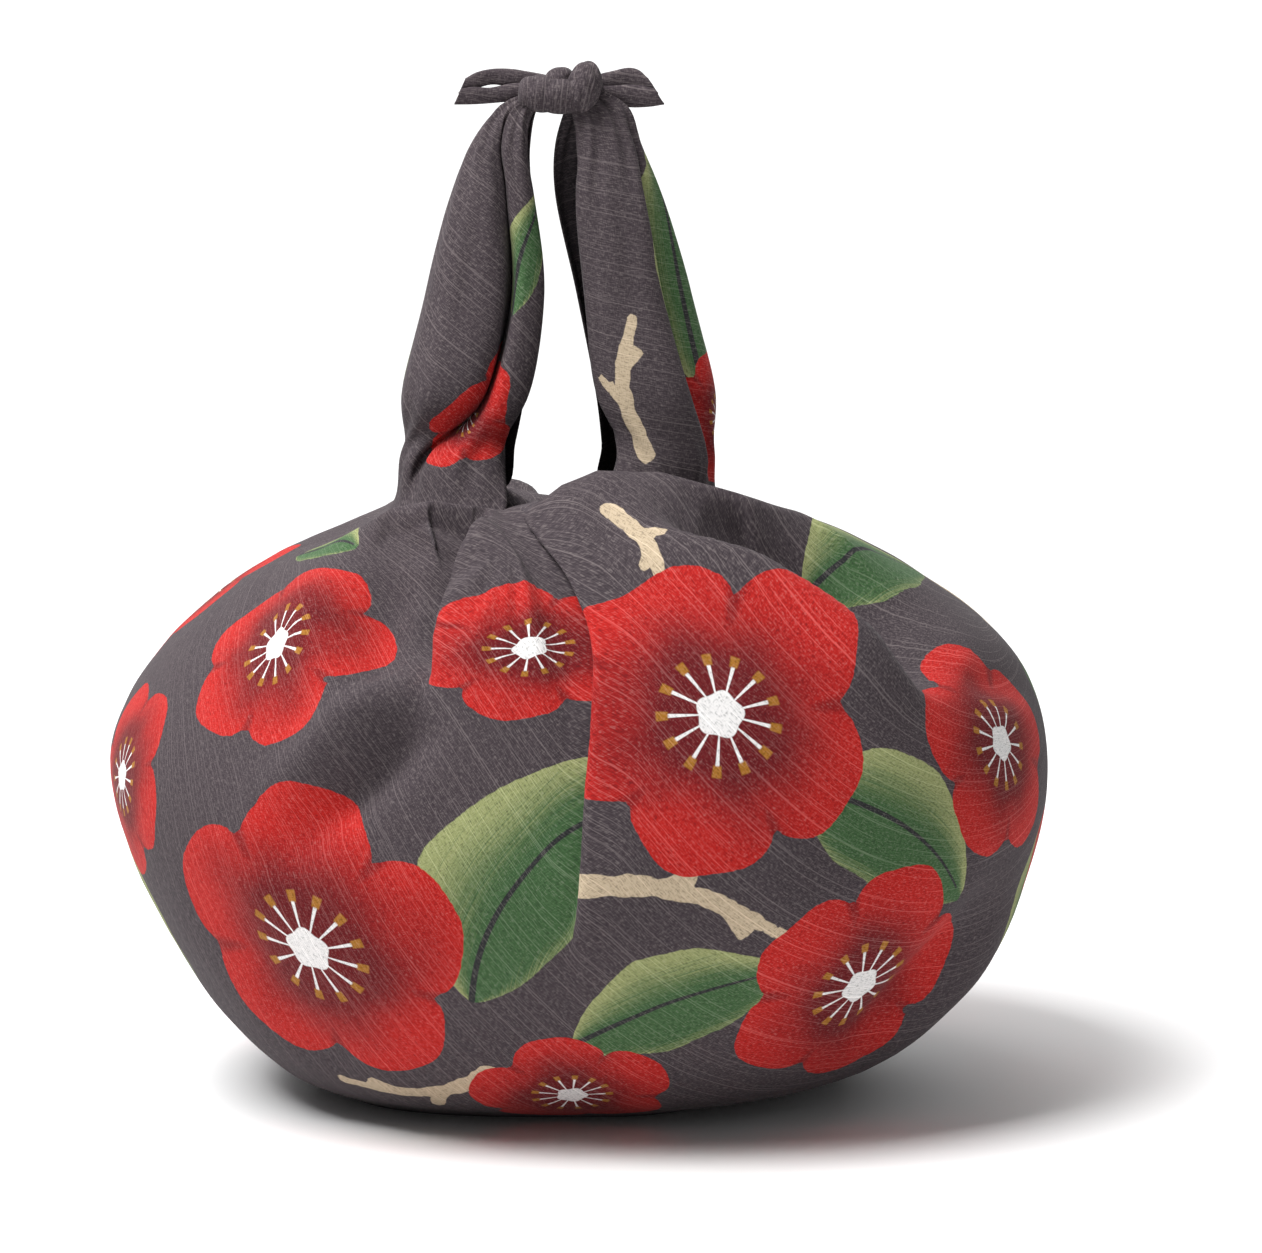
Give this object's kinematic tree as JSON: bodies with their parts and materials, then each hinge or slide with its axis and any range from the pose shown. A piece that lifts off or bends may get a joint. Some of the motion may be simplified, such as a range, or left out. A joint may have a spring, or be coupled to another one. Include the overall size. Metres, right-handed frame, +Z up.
{
  "type": "furoshiki wrap",
  "caption": "Square printed cotton cloth gathered and tied as a round carrying bag, standing full, with a knotted strap handle and free ends.",
  "frame": {"origin": "middle of the flat patch that the bag stands on, under the middle of its bounding box", "axes": "+Z up towards the knot, -Y towards the bag's front, +X to the right seen from the front"},
  "size_m": [0.394, 0.35, 0.4328],
  "materials": {
    "slub_cotton": "matt slub weave, printed"
  },
  "bodies": {
    "root": {"wrap_cloth": "slub_cotton"}
  },
  "joints": []
}
